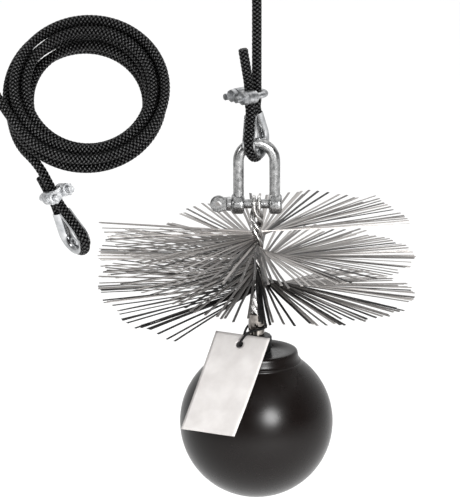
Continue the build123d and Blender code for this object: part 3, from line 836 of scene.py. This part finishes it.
    def build(self) -> None:
        line = spline_points("rope_line", self.lay_route(), self.line_steps)
        path = even_points(line, self.ring_spacing * MM)
        braid = BraidedRope()
        rope = swept_tube("rope", path, self.diameter / 2 * MM, self.sides, braid.relief)
        assign(rope, braid.build())
        length = sum((after - before).length for before, after in zip(path, path[1:]))
        LOG.info("rope is %.3f m long in %d points", length, len(path))
        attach(rope, Body.ROPE.value)
        nodes = ("rope_eye", "rope_run", "rope_coil", "rope_end_run", "rope_eye_spare")
        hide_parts(*nodes)


class Draw(Enum):
    """The layers of the noise that a strip's own values are drawn from."""

    SAG = 2.2
    REACH = 3.3
    RISE = 4.7
    TONE = 6.1
    ROLL = 7.9
    BUNCH = 9.1


def drawn(seed: Vector, draw: Draw) -> float:
    """Draws one of a strip's own values, from about -1 to 1."""
    return noise.noise(seed + Vector((0, 0, draw.value)))


@dataclass
class Brush:
    """The flat steel bristles in their twisted two-start screw surface, in millimetres.

    The strips lie over each other at the stem and stand apart, singly and in twos and threes, at
    their tips. The near start begins at the top left and the far start at the top right.
    """

    top: float = -155.5
    length: float = 39.5
    margin: float = 0.4
    tiers: int = 3
    strips_a_tier_side: int = 54
    radius: float = 102.0
    tip_gap: float = 0.6
    tip_uneven: float = 3.4
    pitch: float = 34.0
    start_degrees: float = 185.0
    root: float = 2.6
    width: float = 1.6
    thickness: float = 0.35
    # How tips stray up and down: shared by neighbours, and each strip's own
    wander: float = 3.2
    wander_shared: float = 1.4
    wander_own: float = 0.9
    wander_step: float = 0.6
    # What the tips of each start do at the top, over shares of the brush's height
    near_lift: float = 9.0
    near_lifted: float = 0.09
    far_lift: float = 7.0
    far_lifted: float = 0.265
    far_sink: float = 7.0
    far_sinking: float = 0.02
    far_sunk: float = 0.345
    far_rising: float = 0.04
    # How the tips hang at each start's foot, and from what depth
    droop: float = 9.0
    near_droop_depth: float = 33.0
    far_droop_depth: float = 20.0
    droop_run: float = 7.0
    # How strips gather, in radians, and how soon from the stem
    bunch: float = 0.12
    bunch_own: float = 0.03
    bunch_ease: float = 1.6
    # How strips sag, and how they roll in radians
    sag: float = 2.2
    roll: float = 0.3
    # Tones: their middle and spread, and painted shade: how much darker the front of the foot is
    # drawn
    tone_middle: float = 0.62
    tone_spread: float = 1.4
    front_painted_shade: float = 0.9
    painted_shade_from: float = 0.15
    painted_shade_gain: float = 1.6

    def rise(self, share: float, side: int, seed: Vector) -> float:
        """Gives how far a strip's tip stands above its root.

        Args:
            share: How far down the brush the strip is, from 0 to 1.
            side: Which of the two starts it belongs to, 1 or -1.
            seed: The strip's own place in the noise.

        Returns:
            The rise, in millimetres.
        """
        shared = self.wander_shared * noise.noise(seed * self.wander_step)
        lift = self.wander * (shared + self.wander_own * drawn(seed, Draw.RISE))
        if side > 0 and share < self.near_lifted:
            lift += self.near_lift * (1 - share / self.near_lifted)
        if side < 0 and share < self.far_lifted:
            lift += self.far_lift * math.sin(math.pi * share / self.far_lifted)
        if side < 0:
            sinking = eased((share - self.far_lifted) / self.far_sinking)
            lift -= self.far_sink * sinking * eased((self.far_sunk - share) / self.far_rising)
        start = (self.near_droop_depth if side > 0 else self.far_droop_depth) / self.length
        return lift - self.droop * eased((share - start) * self.length / self.droop_run)

    def add_strip(self, builder: bmesh.types.BMesh, index: int, side: int, tone: Any) -> None:
        """Adds one strip as a narrow ribbon that bends a little along its length.

        Args:
            builder: The bmesh of its tier.
            index: Its number from the top, over all tiers.
            side: Which of the two starts it belongs to, 1 or -1.
            tone: The vertex layer that holds its tone, painted shade included.
        """
        share = index / (self.strips_a_tier_side * self.tiers - 1)
        depth = self.margin + (self.length - 2 * self.margin) * share
        seed = Vector((index * 0.731, side * 5.3, 0.0))
        angle = math.radians(self.start_degrees) + 2 * math.pi * depth / self.pitch
        angle += 0.0 if side > 0 else math.pi
        bunch = self.bunch * noise.noise(Vector((index * 0.29, side * 3.1, 1.7)))
        bunch += self.bunch_own * drawn(seed, Draw.BUNCH)
        tip_rise = self.rise(share, side, seed)
        sag = self.sag * drawn(seed, Draw.SAG)
        roll = self.roll * drawn(seed, Draw.ROLL)
        reach = self.radius - self.tip_gap - self.tip_uneven * abs(drawn(seed, Draw.REACH))
        # Painted shade: strips that point to the front are darkened, the more so the lower they sit
        facing = min(1.0, max(0.0, self.painted_shade_from - math.sin(angle)) * self.painted_shade_gain)
        tone_and_shade = self.tone_middle + self.tone_spread * drawn(seed, Draw.TONE)
        tone_and_shade -= self.front_painted_shade * share**3 * facing
        made = bmesh.ops.create_grid(builder, x_segments=6, y_segments=1, size=0.5)["verts"]
        for vertex in made:
            along = vertex.co.x + 0.5
            turned = angle + bunch * min(1.0, along * self.bunch_ease)
            outward = Vector((math.cos(turned), math.sin(turned), 0))
            across = Vector((-math.sin(turned), math.cos(turned), 0)) * math.cos(roll)
            across += Vector((0, 0, math.sin(roll)))
            level = self.top - depth + tip_rise * along + sag * along * (1 - along) * 2
            distance = self.root + (reach - self.root) * along
            flat = across * (vertex.co.y * self.width)
            vertex.co = (outward * distance + flat + Vector((0, 0, level))) * MM
            vertex[tone] = min(1.0, max(0.0, tone_and_shade))

    def build(self) -> None:
        """Builds the three tiers."""
        steel = FlatSteel().build()
        for tier, name in enumerate(("top", "middle", "bottom")):
            builder = bmesh.new()
            tone = builder.verts.layers.float.new("tone_and_shade")
            first = tier * self.strips_a_tier_side
            for index in range(first, first + self.strips_a_tier_side):
                for side in (1, -1):
                    self.add_strip(builder, index, side, tone)
            bmesh.ops.solidify(builder, geom=builder.faces[:], thickness=self.thickness * MM)
            bmesh.ops.recalc_face_normals(builder, faces=builder.faces)
            piece = object_from(f"flat_bristles_{name}", builder, smooth=False)
            assign(piece, steel)
            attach(piece, Body.BRUSH.value)
            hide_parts(f"bristles_{name}")
            LOG.info("%s has %d faces", piece.name, len(piece.data.polygons))


@dataclass
class Ball:
    """The coated ball: a turned coat with its collar, over the iron core and the insert.

    The collar is radii and heights over the ball's centre, from the seam to the insert's bore, in
    millimetres.
    """

    level: float = -282.0
    radius: float = 49.0
    seam_height: float = 40.2
    arc_steps: int = 60
    steps: int = 96
    collar: tuple[Pair, ...] = (
        (28.35, 40.35), (28.45, 40.7), (28.3, 41.05), (27.9, 41.2), (27.3, 41.9),
        (26.95, 43.2), (26.5, 45.6), (26.3, 46.6), (25.85, 47.3), (25.1, 47.62),
        (24.3, 47.7), (8.05, 47.7), (8.05, 46.4),
    )

    def profile(self) -> list[Vector]:
        """Gives the coat's outline over the ball's centre, from its lowest point to the bore."""
        seam = math.asin(self.seam_height / self.radius)
        outline = []
        for step in range(self.arc_steps + 1):
            angle = -math.pi / 2 + (seam + math.pi / 2) * step / self.arc_steps
            outline.append((self.radius * math.cos(angle), self.radius * math.sin(angle)))
        return [Vector((radius, 0, height)) for radius, height in (*outline, *self.collar)]

    def build(self) -> None:
        """Builds the coat as a full spin of its outline."""
        builder = bmesh.new()
        previous = None
        for point in self.profile():
            vertex = builder.verts.new((point + Vector((0, 0, self.level))) * MM)
            if previous is not None:
                builder.edges.new((previous, vertex))
            previous = vertex
        bmesh.ops.spin(
            builder, geom=builder.verts[:] + builder.edges[:], cent=(0, 0, 0), axis=(0, 0, 1),
            angle=2 * math.pi, steps=self.steps, use_merge=True,
        )
        bmesh.ops.remove_doubles(builder, verts=builder.verts, dist=SAME_POINT)
        bmesh.ops.recalc_face_normals(builder, faces=builder.faces)
        coat = object_from("ball_coat", builder)
        assign(coat, BLACK_COAT.build())
        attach(coat, Body.BALL.value)
        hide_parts("ball_shell")
        LOG.info("ball coat has %d faces", len(coat.data.polygons))


@dataclass
class Tag:
    """The bare card and the elastic tie that holds it, in millimetres."""

    ball_level: float = -282.0
    outward: Triple = (-0.411, -0.658, 0.628)
    level_edge: Triple = (0.856, -0.516, 0.02)
    rest: float = 49.94
    centre_up: float = 3.0
    card_width: float = 40.0
    card_length: float = 70.0
    card_thickness: float = 0.5
    curl: float = 1.6
    curl_across: float = 0.5
    ripple: float = 0.35
    ripple_step: float = 0.06
    hole_radius: float = 2.5
    hole_margin: float = 7.0
    # The tie's ring round the sleeve
    nut_top: float = -224.5
    sleeve_radius: float = 5.2
    tie_gap: float = 0.25
    tie_radius: float = 0.75
    tie_low: float = 3.2
    tie_climb: float = 3.6
    tie_slope: float = 0.9
    # The tie at the card: before its front, over its top edge and behind it
    front_gap: float = 0.4
    top_gap: float = 2.4
    top_aside: float = 5.0
    knot_depth: float = 2.65
    lead_depth: float = 1.6
    lead_up: float = 1.5
    rear_depth: float = 4.9
    rear_up: float = 8.4
    rear_aside: float = 2.0
    blend_depth: float = 4.6
    blend_up: float = 4.4
    line_steps: int = 16
    ring_spacing: float = 0.5
    tie_sides: int = 10

    def __post_init__(self) -> None:
        """Works out the card's own directions, its centre and its hole."""
        self.out = Vector(self.outward).normalized()
        across = Vector(self.level_edge)
        self.side = (across - self.out * across.dot(self.out)).normalized()
        self.up = self.out.cross(self.side)
        raised = self.out * (self.rest + self.card_thickness / 2)
        self.centre = Vector((0, 0, self.ball_level)) + raised + self.up * self.centre_up
        self.hole_height = self.card_length / 2 - self.hole_margin
        self.hole = self.centre + self.up * self.hole_height

    def from_hole(self, outward: float, upward: float = 0.0, sideways: float = 0.0) -> Vector:
        """Gives a point by its place from the middle of the card's hole."""
        return self.hole + self.out * outward + self.up * upward + self.side * sideways

    def build_card(self) -> None:
        """Builds the card, slightly curled away from the ball at its lower edge."""
        builder = bmesh.new()
        made = bmesh.ops.create_grid(builder, x_segments=20, y_segments=34, size=0.5)["verts"]
        bmesh.ops.scale(builder, vec=(self.card_width, self.card_length, 1), verts=made)
        bmesh.ops.solidify(builder, geom=builder.faces[:], thickness=self.card_thickness)
        bmesh.ops.translate(builder, vec=(0, 0, -self.card_thickness / 2), verts=builder.verts)
        card = object_from("blank_card", builder)
        cutter = self.hole_cutter()
        cut = card.modifiers.new("hole", "BOOLEAN")
        cut.object = cutter
        cut.solver = "EXACT"
        bpy.context.view_layer.update()
        graph = bpy.context.evaluated_depsgraph_get()
        mesh = bpy.data.meshes.new_from_object(card.evaluated_get(graph))
        card.modifiers.clear()
        card.data = mesh
        bpy.data.objects.remove(cutter)
        turn = Matrix((self.side, self.up, self.out)).transposed()
        for vertex in mesh.vertices:
            x, y, z = vertex.co
            share = (self.card_length / 2 - y) / self.card_length
            curl = self.curl * share**3 * (1 + self.curl_across * x / self.card_width)
            curl += self.ripple * noise.noise(Vector((x, y, 0)) * self.ripple_step) * share
            vertex.co = (self.centre + turn @ Vector((x, y, z + curl))) * MM
        assign(card, CoatedCard().build())
        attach(card, Body.TAG.value)
        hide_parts("tag_card")

    def hole_cutter(self) -> bpy.types.Object:
        """Makes the punch for the card's hole."""
        builder = bmesh.new()
        bmesh.ops.create_cone(
            builder, cap_ends=True, segments=32, radius1=self.hole_radius,
            radius2=self.hole_radius, depth=4.0,
            matrix=Matrix.Translation((0, self.hole_height, 0)),
        )
        return object_from("hole_punch", builder)

    def tie_route(self) -> list[Vector]:
        """Lays the tie in metres: out through the hole, round the sleeve and back."""
        ring = self.sleeve_radius + self.tie_gap + self.tie_radius
        toward = Vector((self.hole.x, self.hole.y, 0)).normalized()
        right = Vector((-toward.y, toward.x, 0))
        corner = 2 * ring * math.tan(math.pi / 8)
        full = ring / corner
        low = self.nut_top + self.tie_low
        high = low + self.tie_climb
        middle = (low + high) / 2

        def ring_corner(forward: float, sideways: float, level: float) -> Vector:
            """Gives one corner of the ring's octagon."""
            return toward * corner * forward + right * corner * sideways + Vector((0, 0, level))

        proud = self.front_gap + self.tie_radius + self.card_thickness / 2
        route = [
            self.from_hole(-self.knot_depth),
            self.from_hole(proud),
            self.from_hole(proud, self.hole_margin + self.top_gap, self.top_aside),
            ring_corner(0.5, full, middle),
            ring_corner(-0.5, full, middle + self.tie_slope),
            ring_corner(-full, 0.5, high),
            ring_corner(-full, -0.5, high),
            ring_corner(-0.5, -full, middle + self.tie_slope),
            ring_corner(0.5, -full, middle - self.tie_slope),
            self.from_hole(-self.rear_depth, self.rear_up, -self.rear_aside),
            self.from_hole(-(self.knot_depth + self.lead_depth), self.lead_up),
        ]
        return [point * MM for point in route]

    def build_tie(self) -> None:
        """Builds the tie round the sleeve and through the card."""
        line = spline_points("tie_line", self.tie_route(), self.line_steps)
        path = even_points(line, self.ring_spacing * MM)
        tie = swept_tube("elastic_tie", path, self.tie_radius * MM, self.tie_sides)
        assign(tie, BLACK_ELASTIC.build())
        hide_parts("tag_tie")
        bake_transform(tie)


def dress_metal() -> None:
    """Gives every carried-over rigid node its finish."""
    finishes: dict[MetalFinish, tuple[str, ...]] = {
        ZINC_SHEET: ("thimble", "thimble_spare"),
        ZINC_CASTING: (
            "clip_saddle", "clip_u_bolt", "clip_nuts",
            "clip_saddle_spare", "clip_u_bolt_spare", "clip_nuts_spare",
        ),
        GALVANISED: ("shackle_bow", "shackle_pin"),
        DRAWN_WIRE: ("stem_wire_left", "stem_wire_right"),
        NICKEL_TUBE: ("stem_sleeve",),
        TURNED_STEEL: ("stem_stud", "ball_insert"),
        BLACK_OXIDE: ("lock_nut",),
        CAST_IRON: ("ball_core",),
    }
    for metal, nodes in finishes.items():
        material = metal.build()
        for node in nodes:
            assign(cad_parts[node], material)
        LOG.info("%s on %s", metal.name, ", ".join(nodes))


@dataclass(frozen=True)
class Panel:
    """A soft round light: its place and width in metres, and its power in watts."""

    name: str
    place: Triple
    width: float
    power: float


@dataclass
class Studio:
    """The pale floor, the soft lights and the camera at the photograph's angle.

    Lengths are in metres, angles in degrees and the sensor in millimetres.
    """

    distance: float = 4.0
    elevation: float = 15.0
    view_height: float = 0.3185
    sensor: float = 36.0
    target: Triple = (-0.0169, 0.0, -0.1686)
    floor_level: float = -0.62
    overhead: float = 1.8
    overhead_spread: float = 100.0
    room_dim: float = 0.05
    room_bright: float = 0.95
    room_fade: Pair = (-0.4, 0.7)
    lit_point: Triple = (-0.03, 0.0, -0.17)
    panels: tuple[Panel, ...] = (
        Panel("key_light", (0.59, -1.4, 0.28), 0.58, 43.0),
        Panel("side_light", (-1.4, -0.7, 0.5), 0.5, 6.0),
    )

    def build_camera(self) -> None:
        """Builds the camera."""
        data = bpy.data.cameras.new("photo_camera")
        data.lens = self.sensor * self.distance / self.view_height
        data.sensor_width = self.sensor
        camera = link_new("photo_camera", data)
        turn = math.radians(self.elevation)
        back = Vector((0, -math.cos(turn), math.sin(turn)))
        camera.location = Vector(self.target) + back * self.distance
        camera.rotation_euler = (math.pi / 2 - turn, 0, 0)
        bpy.context.scene.camera = camera

    def build_floor(self) -> None:
        """Builds the pale floor."""
        builder = bmesh.new()
        bmesh.ops.create_grid(builder, x_segments=2, y_segments=2, size=14)
        bmesh.ops.translate(builder, vec=(0, 0, self.floor_level), verts=builder.verts)
        floor = object_from("studio_floor", builder)
        material, tree = new_material("pale_floor")
        values = {"Base Color": linear("fbfbfb"), "Roughness": 0.95, "Specular IOR Level": 0.0}
        finish_surface(tree, {}, values)
        assign(floor, material)

    def build_panel(self, panel: Panel) -> None:
        """Builds one soft panel light that faces the brush."""
        data = bpy.data.lights.new(panel.name, "AREA")
        data.shape = "DISK"
        data.size = panel.width
        data.energy = panel.power
        light = link_new(panel.name, data)
        light.location = Vector(panel.place)
        facing = Vector(self.lit_point) - light.location
        light.rotation_euler = facing.to_track_quat("-Z", "Y").to_euler()

    def build_overhead(self) -> None:
        """Builds the wide overhead light that keeps the floor white all round."""
        data = bpy.data.lights.new("overhead_light", "SUN")
        data.energy = self.overhead
        data.angle = math.radians(self.overhead_spread)
        link_new("overhead_light", data)

    def build_world(self) -> None:
        """Builds the room: bright behind the brush, dim behind the camera."""
        world = bpy.data.worlds.new("studio")
        world.use_nodes = True
        tree = world.node_tree
        direction = add_node(tree, "ShaderNodeTexCoord").outputs["Generated"]
        parts = add_node(tree, "ShaderNodeSeparateXYZ", {"Vector": direction})
        brightness = (self.room_dim, self.room_bright)
        glow = spread_node(tree, parts.outputs["Y"], self.room_fade, brightness)
        background = tree.nodes["Background"]
        background.inputs["Color"].default_value = (1, 1, 1, 1)
        tree.links.new(glow, background.inputs["Strength"])
        bpy.context.scene.world = world

    def build(self) -> None:
        """Builds the whole studio."""
        bpy.context.scene.view_settings.view_transform = "Standard"
        self.build_world()
        self.build_camera()
        self.build_floor()
        self.build_overhead()
        for panel in self.panels:
            self.build_panel(panel)


def main() -> None:
    """Builds the studio, then the pieces of the brush from the rope down."""
    logging.basicConfig(level=logging.INFO, format="%(name)s: %(message)s")
    Studio().build()
    Rope().build()
    Brush().build()
    Ball().build()
    tag = Tag()
    tag.build_card()
    tag.build_tie()
    dress_metal()


if __name__ == "__main__":
    main()
